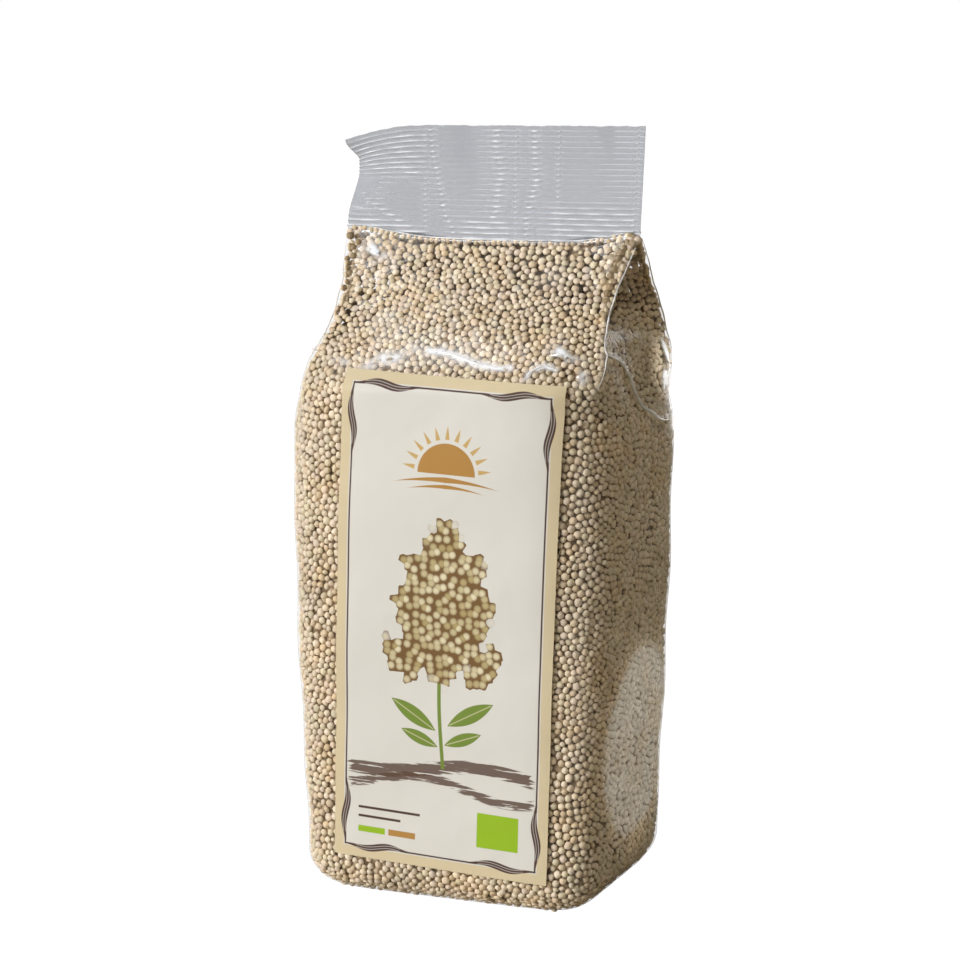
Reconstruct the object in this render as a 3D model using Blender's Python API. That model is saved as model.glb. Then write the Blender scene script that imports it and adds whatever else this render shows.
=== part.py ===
# A clear block-bottom bag of quinoa: filled gusseted body, crimped header seal, paper label.
# Metres, +Z up, the front faces -Y. Run with: blender --background --python part.py

import math

import bmesh
import bpy
import numpy as np

# Driving dimensions of the film tube
FLAT_WIDTH = 0.075  # width of the tube laid flat, which is the header's width
TOP_Z = 0.1842  # top edge of the header
HEADER_Z = 0.1582  # where the front and back film meet above the grains
HEADER_HALF_THICK = 0.0006
HEADER_X = 0.0022  # the header stands a little off the middle of the body
HEADER_Y = -0.0025

# Half sizes of the filled body, and how square its outline is (2 is an ellipse)
BASE_HALF_X = 0.0374
BASE_HALF_Y = 0.0297
BASE_SQUARENESS = 7.7
BELLY_HALF_X = 0.0416
BELLY_HALF_Y = 0.0333
BELLY_SQUARENESS = 4.75
BELLY_Z = 0.1013
BASE_EDGE_RADIUS = 0.0095

# Shoulders, where the front and back slope in to the header
FRONT_SHOULDER_Z = 0.1235
FRONT_SHOULDER_EASE = (1.3, 1.19)
BACK_SHOULDER_Z = 0.1350
BACK_SHOULDER_EASE = (2.07, 1.41)
NARROWING_Z = 0.1112
WAIST = 0.0027  # how far the creases draw together between shoulder and header
WAIST_Z = (0.1200, 0.1400, 0.1440)
SHOULDER_Z = (0.1060, 0.1270)  # where the front turns from squarish to domed
FRONT_DOME_SQUARENESS = 4.1
FRONT_CREASE = 0.80  # how far forward the front creases stand, as a share of the depth
BACK_DOME_SQUARENESS = 4.6
BACK_CREASE = 0.71
CREASE_RUN = (0.1180, 0.1320)  # height over which the rounded edges become folded creases

# Side gussets, tucked in below the header
TUCK_DEPTH = 0.0105
EDGE_ROUND = 0.0003  # keeps the header's side edges from being flat
TUCK_LOW = (0.1310, 0.1470)
TUCK_HIGH = (0.1500, 0.1582)
POCKET_DEPTH = 0.0022  # shallow second dip under the tuck
POCKET_Z = 0.1255
POCKET_HALF_HEIGHT = 0.0090

# Slack in the film, as shallow waves in metres
SLACK = 0.0002

# Back seam, where the film is joined into a tube
SEAM_WIDTH = 0.011
SEAM_PROUD = (0.00005, 0.0007)  # at the bottom fold and above it
SEAM_START_Z = (0.0060, 0.0110)

# Header's free left edge, which curls away
CURL_WIDTH = 0.012
CURL_DEPTH = 0.0035
WAIST_INSET = 0.0018
CORNER_DROP = 0.0036

# Paper label, stuck on the front a little askew
LABEL_WIDTH = 0.0545
LABEL_HEIGHT = 0.1175
LABEL_CENTRE_X = 0.0025
LABEL_CENTRE_Z = 0.0684
LABEL_TURN = math.radians(2.3)  # clockwise, seen from the front
LABEL_THICKNESS = 0.0005
CONTACT_GAP = 0.0004

# How finely the outline is divided
PANEL_STEPS = 22
GUSSET_STEPS = 14
LABEL_STEPS = (18, 44)


def smooth(low, high, value):
    share = np.clip((value - low) / (high - low), 0, 1)
    return share * share * (3 - 2 * share)


def shoulder(z, start, ease):
    share = np.clip((z - start) / (HEADER_Z - start), 0, 1)
    return (1 - share ** ease[0]) ** ease[1]


def half_sizes(z):
    """Half width, front depth and back depth of the bag at height z."""
    rise = smooth(0, BELLY_Z, z)
    half_x = BASE_HALF_X + (BELLY_HALF_X - BASE_HALF_X) * rise
    half_y = BASE_HALF_Y + (BELLY_HALF_Y - BASE_HALF_Y) * rise
    level = min(z / BASE_EDGE_RADIUS, 1)
    inset = BASE_EDGE_RADIUS * (1 - math.sqrt(1 - (1 - level) ** 2))
    narrowing = smooth(NARROWING_Z, WAIST_Z[1], z)
    waist = smooth(*WAIST_Z[:2], z) * (1 - smooth(WAIST_Z[2], HEADER_Z, z))
    half_x += (FLAT_WIDTH / 2 - half_x) * narrowing - WAIST * waist - inset
    front = (half_y + HEADER_Y) * shoulder(z, FRONT_SHOULDER_Z, FRONT_SHOULDER_EASE)
    back = (half_y - HEADER_Y) * shoulder(z, BACK_SHOULDER_Z, BACK_SHOULDER_EASE)
    return half_x, front + HEADER_HALF_THICK - inset, back + HEADER_HALF_THICK - inset


def squareness(z, front):
    """How square the front or back half of the outline is, and how far out its creases stand."""
    square = BASE_SQUARENESS + (BELLY_SQUARENESS - BASE_SQUARENESS) * smooth(0, BELLY_Z, z)
    crease = 0.5 ** (1 / square)
    dome = (FRONT_DOME_SQUARENESS, FRONT_CREASE) if front else (BACK_DOME_SQUARENESS, BACK_CREASE)
    domed = smooth(*SHOULDER_Z, z)
    return square + (dome[0] - square) * domed, crease + (dome[1] - crease) * domed


def tuck(z):
    """How far the middle of each side gusset is drawn in at height z."""
    fold = smooth(*TUCK_LOW, z) * (1 - smooth(*TUCK_HIGH, z))
    pocket = np.clip(1 - ((z - POCKET_Z) / POCKET_HALF_HEIGHT) ** 2, 0, 1)
    return TUCK_DEPTH * fold + POCKET_DEPTH * pocket


def slack(x, y, z):
    """Shallow waves of the loose film, none at the bottom and in the header."""
    fade = smooth(0.008, 0.030, z) * (1 - smooth(0.130, HEADER_Z, z))
    wave = np.sin(95 * x + 61 * z + 0.7) * np.cos(130 * z + 48 * y) + 0.6 * np.sin(210 * z - 70 * x + 35 * y)
    return SLACK * fade * wave


def outline(z, run, place):
    """Points of one run of the outline at height z: place goes from -1 to 1 between its two creases."""
    half_x, front, back = half_sizes(z)
    folded = smooth(*CREASE_RUN, z)
    side = {"right": 1, "left": -1}.get(run, 0)
    in_front = place < 0 if side else np.full(len(place), run == "front")
    (front_square, front_crease), (back_square, back_crease) = squareness(z, True), squareness(z, False)
    square = np.where(in_front, front_square, back_square)
    crease = np.where(in_front, front_crease, back_crease)
    crease_x = (1 - crease ** square) ** (1 / square)
    if side:
        out = (1 - np.abs(place * crease) ** square) ** (1 / square)
        unit_x, unit_y = side * (out + (crease_x - out) * folded), place * crease
    else:
        out = (1 - np.abs(place * crease_x) ** square) ** (1 / square)
        unit_x, unit_y = place * crease_x, out if run == "back" else -out
    # Once folded, the half width is the distance from the middle to the creases
    reach = half_x * (1 + (1 / crease_x - 1) * folded)
    drawn_in = side * (1 - np.abs(place) ** 1.3) * (tuck(z) - EDGE_ROUND * folded)
    x = HEADER_X * folded + unit_x * reach - drawn_in
    y = HEADER_Y + unit_y * np.where(in_front, front, back)
    wave = slack(x, y, z)
    return x + unit_x * wave, y + unit_y * wave


def front_y(x, z):
    """The front film's y at a place on the front."""
    xs, ys = outline(z, "front", np.linspace(-1, 1, 81))
    return float(np.interp(x, xs, ys))


def bag_heights():
    edge = [BASE_EDGE_RADIUS * (1 - math.cos(math.radians(turn))) for turn in (0, 18, 36, 54, 72, 90)]
    body = np.linspace(BASE_EDGE_RADIUS, FRONT_SHOULDER_Z, 15)[1:]
    shoulders = np.linspace(FRONT_SHOULDER_Z, HEADER_Z, 17)[1:]
    header = np.linspace(HEADER_Z, TOP_Z, 9)[1:]
    return [*edge, *body, *shoulders, *header]


def ring(z):
    """The whole outline at height z, anticlockwise from the front right crease, with the seam on the back."""
    gusset = np.linspace(-1, 1, GUSSET_STEPS, endpoint=False)
    front = np.linspace(-1, 1, PANEL_STEPS, endpoint=False)
    seam_edge = SEAM_WIDTH / 2 / half_sizes(z)[0]
    wing = np.linspace(1, seam_edge, PANEL_STEPS // 2 - 1)
    strip = np.linspace(seam_edge, -seam_edge, 4)
    proud = SEAM_PROUD[0] + (SEAM_PROUD[1] - SEAM_PROUD[0]) * smooth(*SEAM_START_Z, z)
    runs = (("right", gusset, 0), ("back", wing, 0), ("back", strip, proud), ("back", -wing[::-1], 0))
    points = []
    for run, place, raised in (*runs, ("left", -gusset[1:], 0), ("front", front, 0)):
        x, y = outline(z, run, place)
        points += list(zip(x, y + raised))
    return points


def curled(x, y, z):
    """Bends the header's left edge away, narrows its waist and lowers its top corner."""
    height = np.clip((z - HEADER_Z) / (TOP_Z - HEADER_Z), 0, 1)
    reach = np.clip((-x - (FLAT_WIDTH / 2 - CURL_WIDTH)) / CURL_WIDTH, 0, 1)
    waist = math.sin(math.pi * height ** 1.3)
    x += WAIST_INSET * waist * reach ** 2
    y += CURL_DEPTH * waist * reach ** 2
    z -= CORNER_DROP * smooth(0.55, 1, height) * reach ** 1.5
    return x, y, z


def material(name, colour, roughness, alpha=1.0):
    made = bpy.data.materials.new(name)
    made.use_nodes = True
    shader = made.node_tree.nodes["Principled BSDF"]
    shader.inputs["Base Color"].default_value = (*colour, 1)
    shader.inputs["Roughness"].default_value = roughness
    shader.inputs["Metallic"].default_value = 0
    shader.inputs["Alpha"].default_value = alpha
    return made


def add_object(name, rings, look, sharp=35):
    """One closed solid from rings of points that go anticlockwise, seen from above, bottom first."""
    build = bmesh.new()
    rows = [[build.verts.new(point) for point in ring] for ring in rings]
    for low, high in zip(rows, rows[1:]):
        for i in range(len(low)):
            j = (i + 1) % len(low)
            build.faces.new((low[i], low[j], high[j], high[i]))
    build.faces.new(rows[0][::-1])
    build.faces.new(rows[-1])
    mesh = bpy.data.meshes.new(name)
    build.to_mesh(mesh)
    build.free()
    mesh.materials.append(look)
    mesh.shade_smooth()
    mesh.set_sharp_from_angle(angle=math.radians(sharp))
    made = bpy.data.objects.new(name, mesh)
    bpy.context.scene.collection.objects.link(made)
    return made


def bag_rings():
    return [[curled(x, y, z) for x, y in ring(z)] for z in bag_heights()]


def label_rings():
    """The label as rows from its foot to its head, each row going round its front and back."""
    columns, rows = LABEL_STEPS
    rings = []
    for row in range(rows + 1):
        up = LABEL_HEIGHT * (row / rows - 0.5)
        front, back = [], []
        for column in range(columns + 1):
            right = LABEL_WIDTH * (column / columns - 0.5)
            x = LABEL_CENTRE_X + right * math.cos(LABEL_TURN) + up * math.sin(LABEL_TURN)
            z = LABEL_CENTRE_Z - right * math.sin(LABEL_TURN) + up * math.cos(LABEL_TURN)
            film = front_y(x, z)
            back.append((x, film - CONTACT_GAP, z))
            front.append((x, film - CONTACT_GAP - LABEL_THICKNESS, z))
        rings.append(front + back[::-1])
    return rings


def stand_in_the_middle(objects):
    """Shifts the points so that the middle of the whole box's foot is the origin."""
    points = np.array([vertex.co for made in objects for vertex in made.data.vertices])
    middle = (points.min(axis=0) + points.max(axis=0)) / 2
    for made in objects:
        for vertex in made.data.vertices:
            vertex.co.x -= middle[0]
            vertex.co.y -= middle[1]


def main():
    for old in list(bpy.data.objects):
        bpy.data.objects.remove(old)
    contents = material("quinoa_in_clear_film", (0.56, 0.43, 0.28), 0.45)
    paper = material("label_paper", (0.74, 0.68, 0.55), 0.5)
    bag = add_object("bag", bag_rings(), contents)
    label = add_object("label", label_rings(), paper)
    stand_in_the_middle([bag, label])
    holder = bpy.data.objects.new("bag_of_quinoa", None)
    bpy.context.scene.collection.objects.link(holder)
    for made in (bag, label):
        made.parent = holder


main()
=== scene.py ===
# A clear block-bottom bag of quinoa with a printed paper label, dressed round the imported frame.
# Metres, +Z up, the front faces -Y.
import math

import bpy
import numpy as np
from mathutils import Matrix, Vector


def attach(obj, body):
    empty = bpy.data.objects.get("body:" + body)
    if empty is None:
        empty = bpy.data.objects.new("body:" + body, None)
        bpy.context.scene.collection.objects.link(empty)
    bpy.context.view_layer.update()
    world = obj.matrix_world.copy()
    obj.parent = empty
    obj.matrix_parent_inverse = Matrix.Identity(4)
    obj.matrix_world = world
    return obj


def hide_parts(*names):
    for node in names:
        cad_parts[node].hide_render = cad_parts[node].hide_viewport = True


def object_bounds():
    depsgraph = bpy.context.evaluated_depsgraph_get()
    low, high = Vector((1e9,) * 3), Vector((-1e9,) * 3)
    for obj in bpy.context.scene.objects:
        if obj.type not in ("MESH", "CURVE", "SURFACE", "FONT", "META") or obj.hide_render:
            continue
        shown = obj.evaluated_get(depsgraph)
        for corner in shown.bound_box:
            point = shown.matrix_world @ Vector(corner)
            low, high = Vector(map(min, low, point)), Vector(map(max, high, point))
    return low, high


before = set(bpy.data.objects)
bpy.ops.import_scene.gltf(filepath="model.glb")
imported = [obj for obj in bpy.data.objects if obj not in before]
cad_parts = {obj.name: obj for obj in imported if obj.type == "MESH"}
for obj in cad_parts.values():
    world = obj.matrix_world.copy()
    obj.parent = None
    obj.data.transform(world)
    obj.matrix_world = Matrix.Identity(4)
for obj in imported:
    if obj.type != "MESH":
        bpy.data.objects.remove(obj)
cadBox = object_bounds()

# The film tube's own sizes, the same as the solids'
tube = {
    "flatWidth": 0.075,  # width laid flat, which is the header's width
    "topZ": 0.1842,
    "headerZ": 0.1582,  # where the front and back film meet above the grains
    "solidHalf": 0.0006,  # half thickness of the header's solid
    "filmHalf": 0.00016,  # half thickness of the real seal
    "headerX": 0.0022,
    "headerY": -0.0025,
    "baseHalf": (0.0374, 0.0297),
    "bellyHalf": (0.0416, 0.0333),
    "bellyZ": 0.1013,
    "squareness": (7.7, 4.75),  # of the outline at the foot and at the belly
    "edgeRadius": 0.0095,
    "frontShoulder": (0.1235, 1.3, 1.19),
    "backShoulder": (0.1350, 2.07, 1.41),
    "narrowingZ": 0.1112,
    "waist": 0.0027,
    "waistZ": (0.1200, 0.1400, 0.1440),
    "domeZ": (0.1060, 0.1270),
    "frontDome": (4.1, 0.80),  # squareness, and how far out the creases stand
    "backDome": (4.6, 0.71),
    "creaseZ": (0.1180, 0.1320),
    "tuckDepth": 0.0105,
    "edgeRound": 0.0003,
    "tuckLow": (0.1310, 0.1470),
    "tuckHigh": (0.1500, 0.1582),
    "pocket": (0.0022, 0.1255, 0.0090),  # depth, height and half height of the dip under the tuck
    "slack": 0.0002,
    "sag": (0.0012, 0.0060, 0.0370),  # how far the seal reaches down in the middle, where, and its half width
    "sagRun": 0.0014,  # height over which the film closes up to the seal
    "rises": (  # where the seal's edge rises towards its ends, and by how much
        (-0.012, -0.036, 0.0018), (0.024, 0.0392, 0.0017),
    ),
    "riseFrom": 0.146,  # height from which the film follows the seal's raised ends
    "thinFrom": 0.150,  # height from which the solid header's wall thins to the film's
    "middle": (0.0000293, -0.0001550),  # the solids' middle in the tube's own frame
}
runShares = (0.0, 0.22, 0.50, 0.72, 1.0)  # right side, back, left side, front, as shares of the way round


def ease(low, high, value):
    share = np.clip((value - low) / (high - low), 0, 1)
    return share * share * (3 - 2 * share)


def bump(middle, halfWidth, value):
    return np.clip(1 - ((value - middle) / halfWidth) ** 2, 0, 1) ** 2


def shoulderShare(z, start, power, softness):
    share = np.clip((z - start) / (tube["headerZ"] - start), 0, 1)
    return (1 - share ** power) ** softness


def halfSizes(z, thin):
    rise = ease(0, tube["bellyZ"], z)
    halfX = tube["baseHalf"][0] + (tube["bellyHalf"][0] - tube["baseHalf"][0]) * rise
    halfY = tube["baseHalf"][1] + (tube["bellyHalf"][1] - tube["baseHalf"][1]) * rise
    level = np.minimum(z / tube["edgeRadius"], 1)
    inset = tube["edgeRadius"] * (1 - np.sqrt(1 - (1 - level) ** 2))
    narrowing = ease(tube["narrowingZ"], tube["waistZ"][1], z)
    waist = ease(tube["waistZ"][0], tube["waistZ"][1], z) * (1 - ease(tube["waistZ"][2], tube["headerZ"], z))
    halfX = halfX + (tube["flatWidth"] / 2 - halfX) * narrowing - tube["waist"] * waist - inset
    front = (halfY + tube["headerY"]) * shoulderShare(z, *tube["frontShoulder"])
    back = (halfY - tube["headerY"]) * shoulderShare(z, *tube["backShoulder"])
    half = tube["solidHalf"] + (thin - tube["solidHalf"]) * ease(tube["thinFrom"], tube["headerZ"], z)
    return halfX, front + half - inset, back + half - inset


def sagAt(x):
    drop, middle, half = tube["sag"]
    return tube["headerZ"] - drop * np.clip(1 - ((x - middle) / half) ** 2, 0, 1)


def riseAt(x):
    return sum(high * ease(start, end, x) for start, end, high in tube["rises"])


def sealAt(x):
    # Height of the seal's lower edge
    return sagAt(x) + riseAt(x)


def squareAt(z, dome):
    foot, belly = tube["squareness"]
    square = foot + (belly - foot) * ease(0, tube["bellyZ"], z)
    crease = 0.5 ** (1 / square)
    domed = ease(*tube["domeZ"], z)
    return square + (dome[0] - square) * domed, crease + (dome[1] - crease) * domed


def tuckAt(z):
    fold = ease(*tube["tuckLow"], z) * (1 - ease(*tube["tuckHigh"], z))
    depth, middle, half = tube["pocket"]
    return tube["tuckDepth"] * fold + depth * np.clip(1 - ((z - middle) / half) ** 2, 0, 1)


def slackAt(x, y, z):
    fade = ease(0.008, 0.030, z) * (1 - ease(0.130, tube["headerZ"], z))
    wave = np.sin(95 * x + 61 * z + 0.7) * np.cos(130 * z + 48 * y) + 0.6 * np.sin(210 * z - 70 * x + 35 * y)
    return tube["slack"] * fade * wave


def runAndPlace(around):
    around = np.clip(around, 0, 1)
    run = np.clip(np.searchsorted(runShares, around, side="right") - 1, 0, 3)
    shares = np.array(runShares)
    place = 2 * (around - shares[run]) / (shares[run + 1] - shares[run]) - 1
    return run, np.where((run == 1) | (run == 2), -place, place)


def tubePoint(around, z, thin=tube["solidHalf"]):
    # A point of the tube's outline: around goes from the front right crease anticlockwise, seen from above
    around, z = np.broadcast_arrays(np.asarray(around, float), np.asarray(z, float))
    run, place = runAndPlace(around)
    side = np.where(run == 0, 1, np.where(run == 2, -1, 0))
    halfX, front, back = halfSizes(z, thin)
    folded = ease(*tube["creaseZ"], z)
    inFront = np.where(side != 0, place < 0, run == 3)
    frontSquare, frontCrease = squareAt(z, tube["frontDome"])
    backSquare, backCrease = squareAt(z, tube["backDome"])
    square = np.where(inFront, frontSquare, backSquare)
    crease = np.where(inFront, frontCrease, backCrease)
    creaseX = (1 - crease ** square) ** (1 / square)
    sideOut = (1 - np.abs(place * crease) ** square) ** (1 / square)
    flatOut = (1 - np.abs(place * creaseX) ** square) ** (1 / square)
    unitX = np.where(side != 0, side * (sideOut + (creaseX - sideOut) * folded), place * creaseX)
    unitY = np.where(side != 0, place * crease, np.where(run == 1, flatOut, -flatOut))
    reach = halfX * (1 + (1 / creaseX - 1) * folded)
    drawnIn = side * (1 - np.abs(place) ** 1.3) * (tuckAt(z) - tube["edgeRound"] * folded)
    x = tube["headerX"] * folded + unitX * reach - drawnIn
    y = unitY * np.where(inFront, front, back)
    wave = slackAt(x, y + tube["headerY"], z)
    x, y = x + unitX * wave, y + unitY * wave
    kept = 1 - ease(sagAt(x) - tube["sagRun"], sagAt(x), z)
    y = np.where(np.abs(y) > thin, np.sign(y) * (thin + (np.abs(y) - thin) * kept), y)
    raised = z + riseAt(x) * ease(tube["riseFrom"], tube["headerZ"], z)
    return np.stack([x, y + tube["headerY"], raised], axis=-1)


# Where the tube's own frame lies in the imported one
shift = np.array([
    (cadBox[0].x + cadBox[1].x) / 2 - tube["middle"][0],
    (cadBox[0].y + cadBox[1].y) / 2 - tube["middle"][1],
    0.0,
])
print("frame loaded")


def deselectAll():
    for picked in list(bpy.context.selected_objects):
        picked.select_set(False)


def activate(piece):
    deselectAll()
    piece.select_set(True)
    bpy.context.view_layer.objects.active = piece


def applyModifier(piece, kind, **settings):
    activate(piece)
    modifier = piece.modifiers.new(kind.lower(), kind)
    for key, value in settings.items():
        setattr(modifier, key, value)
    bpy.ops.object.modifier_apply(modifier=modifier.name)


def readPoints(piece):
    places = np.empty(len(piece.data.vertices) * 3)
    piece.data.vertices.foreach_get("co", places)
    return places.reshape(-1, 3)


def writePoints(piece, places):
    piece.data.vertices.foreach_set("co", np.ascontiguousarray(places, float).ravel())
    piece.data.update()


def flatSheet(name, columns, rows):
    # A grid whose x and y run from 0 to 1, to be wrapped into shape
    deselectAll()
    bpy.ops.mesh.primitive_grid_add(x_subdivisions=columns, y_subdivisions=rows, size=1, location=(0, 0, 0))
    piece = bpy.context.active_object
    piece.name = name
    piece.data.name = name
    share = readPoints(piece) + 0.5
    uv = piece.data.uv_layers.active or piece.data.uv_layers.new(name="UVMap")
    corners = np.empty(len(piece.data.loops), int)
    piece.data.loops.foreach_get("vertex_index", corners)
    uv.data.foreach_set("uv", share[corners][:, :2].ravel())
    return piece, share


def finishTube(piece):
    # Joins the wrapped grid's two long edges and fills its foot and its head
    activate(piece)
    bpy.ops.object.mode_set(mode="EDIT")
    bpy.ops.mesh.select_mode(type="VERT")
    bpy.ops.mesh.select_all(action="SELECT")
    bpy.ops.mesh.remove_doubles(threshold=0.000002)
    bpy.ops.mesh.select_all(action="DESELECT")
    bpy.ops.mesh.select_non_manifold()
    bpy.ops.mesh.edge_face_add()
    bpy.ops.mesh.select_all(action="SELECT")
    bpy.ops.mesh.normals_make_consistent(inside=False)
    bpy.ops.object.mode_set(mode="OBJECT")


def smoothShade(piece, degrees):
    activate(piece)
    bpy.ops.object.shade_smooth_by_angle(angle=math.radians(degrees))


def thicken(piece, thickness, offset, degrees):
    # Gives a sheet its wall, turns its faces outwards and smooths it
    applyModifier(piece, "SOLIDIFY", thickness=thickness, offset=offset)
    activate(piece)
    bpy.ops.object.mode_set(mode="EDIT")
    bpy.ops.mesh.select_all(action="SELECT")
    bpy.ops.mesh.normals_make_consistent(inside=False)
    bpy.ops.object.mode_set(mode="OBJECT")
    smoothShade(piece, degrees)


def addMark(mesh, name, values):
    # A value at each vertex, for the materials to read
    mesh.attributes.new(name, "FLOAT", "POINT").data.foreach_set("value", values.astype(np.float32))


def finishPiece(piece, look, slot, *nodes):
    piece.data.materials.clear()
    piece.data.materials.append(look)
    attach(piece, "root")
    if nodes:
        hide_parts(*nodes)
    print("piece", piece.name, len(piece.data.polygons), "faces")


# Materials: a small set of helpers, then one function for each finish


def emptyMaterial(name):
    look = bpy.data.materials.new(name)
    look.use_nodes = True
    look.node_tree.nodes.clear()
    return look, look.node_tree


def addNode(tree, kind, **settings):
    node = tree.nodes.new(kind)
    for key, value in settings.items():
        setattr(node, key, value)
    return node


def plug(value, socket):
    if isinstance(value, bpy.types.NodeSocket):
        socket.id_data.links.new(value, socket)
    else:
        socket.default_value = value


def calc(operation, *values, clamp=False):
    # A Math node in the tree that its values come from
    tree = next(value.id_data for value in values if isinstance(value, bpy.types.NodeSocket))
    node = addNode(tree, "ShaderNodeMath", operation=operation, use_clamp=clamp)
    for value, socket in zip(values, node.inputs):
        plug(value, socket)
    return node.outputs[0]


def plus(first, second):
    return calc("ADD", first, second)


def minus(first, second):
    return calc("SUBTRACT", first, second)


def times(first, second):
    return calc("MULTIPLY", first, second)


def timesPlus(first, second, third):
    return calc("MULTIPLY_ADD", first, second, third)


def larger(first, second):
    return calc("MAXIMUM", first, second)


def absolute(value):
    return calc("ABSOLUTE", value)


def ramp(value, low, high):
    # 0 below low and 1 above high
    node = addNode(value.id_data, "ShaderNodeMapRange", interpolation_type="SMOOTHSTEP")
    plug(value, node.inputs["Value"])
    node.inputs["From Min"].default_value = low
    node.inputs["From Max"].default_value = high
    return node.outputs["Result"]


def mixColour(tree, share, first, second, blend="MIX"):
    node = addNode(tree, "ShaderNodeMix", data_type="RGBA", blend_type=blend)
    plug(share, node.inputs[0])
    plug(first, node.inputs[6])
    plug(second, node.inputs[7])
    return node.outputs[2]


def noiseOf(vector, scale, detail=2.0, rough=0.5):
    node = addNode(vector.id_data, "ShaderNodeTexNoise")
    plug(vector, node.inputs["Vector"])
    node.inputs["Scale"].default_value = scale
    node.inputs["Detail"].default_value = detail
    node.inputs["Roughness"].default_value = rough
    return node.outputs["Fac"]


def cellsOf(vector, scale, feature="F1", **settings):
    node = addNode(vector.id_data, "ShaderNodeTexVoronoi", feature=feature, **settings)
    plug(vector, node.inputs["Vector"])
    node.inputs["Scale"].default_value = scale
    return node


def objectPlace(tree):
    return addNode(tree, "ShaderNodeTexCoord").outputs["Object"]


def readMark(tree, name):
    return addNode(tree, "ShaderNodeAttribute", attribute_name=name).outputs["Fac"]


def splitPlace(vector):
    node = addNode(vector.id_data, "ShaderNodeSeparateXYZ")
    plug(vector, node.inputs[0])
    return node.outputs[0], node.outputs[1], node.outputs[2]


def bumpFrom(height, strength, distance, below=None):
    node = addNode(height.id_data, "ShaderNodeBump")
    node.inputs["Strength"].default_value = strength
    node.inputs["Distance"].default_value = distance
    plug(height, node.inputs["Height"])
    if below is not None:
        plug(below, node.inputs["Normal"])
    return node.outputs["Normal"]


def principled(tree, tint, roughness, specular=0.5, surface=None):
    shader = addNode(tree, "ShaderNodeBsdfPrincipled")
    plug(tint, shader.inputs["Base Color"])
    plug(roughness, shader.inputs["Roughness"])
    shader.inputs["Specular IOR Level"].default_value = specular
    if surface is not None:
        plug(surface, shader.inputs["Normal"])
    return shader


def mixShaders(share, first, second):
    node = addNode(first.id_data, "ShaderNodeMixShader")
    plug(share, node.inputs[0])
    plug(first.outputs[0], node.inputs[1])
    plug(second.outputs[0], node.inputs[2])
    return node


def finishLook(look, shader):
    out = addNode(look.node_tree, "ShaderNodeOutputMaterial")
    plug(shader.outputs[0], out.inputs["Surface"])
    return look


def colour(red, green, blue):
    return (red, green, blue, 1.0)


grainLooks = {  # colour of the flat face, colour towards the edge and deeper in (partly painted shade), share of the grains
    "pale": ((0.90, 0.77, 0.575), (0.80, 0.66, 0.455), 0.21),
    "cream": ((0.86, 0.72, 0.525), (0.76, 0.61, 0.405), 0.23),
    "tan": ((0.80, 0.64, 0.435), (0.69, 0.53, 0.325), 0.19),
    "rosy": ((0.86, 0.71, 0.545), (0.76, 0.61, 0.425), 0.19),
    "green": ((0.82, 0.71, 0.495), (0.72, 0.60, 0.385), 0.17),
}


def makeGrainLook(name, face, rimAndPaintedShade):
    look, tree = emptyMaterial("quinoa_" + name)
    place = objectPlace(tree)
    tone, edge, pale = [readMark(tree, mark) for mark in ("tone", "rimAndPaintedShade", "pale")]
    # Face colour outwards, rim colour further in, by depth under the film: partly the grain's own rim, partly
    # painted shade
    base = mixColour(tree, ramp(edge, 0.20, 0.85), colour(*face), colour(*rimAndPaintedShade))
    # Painted sheen: the pale mark lightens grains behind the hazy strip and the dull patch
    base = mixColour(tree, pale, base, colour(0.97, 0.90, 0.79))
    # Painted shade: deeper down a grain is darker, where its neighbours shade it, but less so where painted
    # sheen pales it
    deep = times(ramp(edge, 0.04, 0.95), timesPlus(pale, -0.45, 0.85))
    base = mixColour(tree, deep, base, colour(0.30, 0.22, 0.13))
    warmth = times(ramp(noiseOf(place, 95.0), 0.45, 0.72), 0.5)
    base = mixColour(tree, warmth, base, colour(1.0, 0.90, 0.72), "MULTIPLY")
    light = timesPlus(tone, 0.22, 0.86)
    light = times(light, timesPlus(noiseOf(place, 1500.0, 3.0, 0.6), 0.30, 0.85))
    light = times(light, timesPlus(noiseOf(place, 60.0), 0.24, 0.88))
    scaled = addNode(tree, "ShaderNodeVectorMath", operation="SCALE")
    plug(base, scaled.inputs[0])
    plug(light, scaled.inputs["Scale"])
    fine = bumpFrom(noiseOf(place, 2600.0), 0.35, 0.00008)
    return finishLook(look, principled(tree, scaled.outputs[0], 0.52, 0.35, fine))


def makeCoreLook():
    look, tree = emptyMaterial("quinoa_deep_painted_shade")
    # Painted shade: the core stands for the grains under the outer layer, coloured darker brown than they are
    # and darker still towards each cell's edge
    cells = cellsOf(objectPlace(tree), 530.0)
    deep = ramp(cells.outputs["Distance"], 0.15, 0.62)
    shade = mixColour(tree, deep, colour(0.56, 0.43, 0.27), colour(0.20, 0.135, 0.07))
    return finishLook(look, principled(tree, shade, 0.7))


film = {
    "columns": 380,
    "crowding": 0.5,  # how far the columns crowd towards the creases
    "clearTint": (0.975, 0.98, 0.985),
    "sealTint": (0.840, 0.853, 0.877),
    "sealShine": 0.16,
    "shine": (0.24, 0.045),  # mirror share that loose film has more, and the share of film that clings
    "hazeShine": 0.07,
    "hazes": (  # hazy strips: place round, share, half width
        (0.0, 0.05, 0.008), (0.2050, 0.12, 0.0130), (0.50, 0.06, 0.008), (0.72, 0.05, 0.008),
    ),
    "gloss": (0.20, 0.07),  # roughness where the film clings to grains, and where it is loose
    "milk": (0.97, 0.95, 0.91),
    "sealMilk": (0.47, 0.485, 0.515),
    "sealCloud": 0.36,
    "emptyTop": 0.0002,  # strip under the seal with no grains in it
    "patchMiddle": (0.0395, 0.003, 0.037),  # the dull round patch low on the right side
    "patchRadius": 0.0245,
    "patchCloud": (0.10, 0.04),  # from noise, and everywhere
    "patchShine": 0.04,
    "patchRough": 0.25,
}


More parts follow.
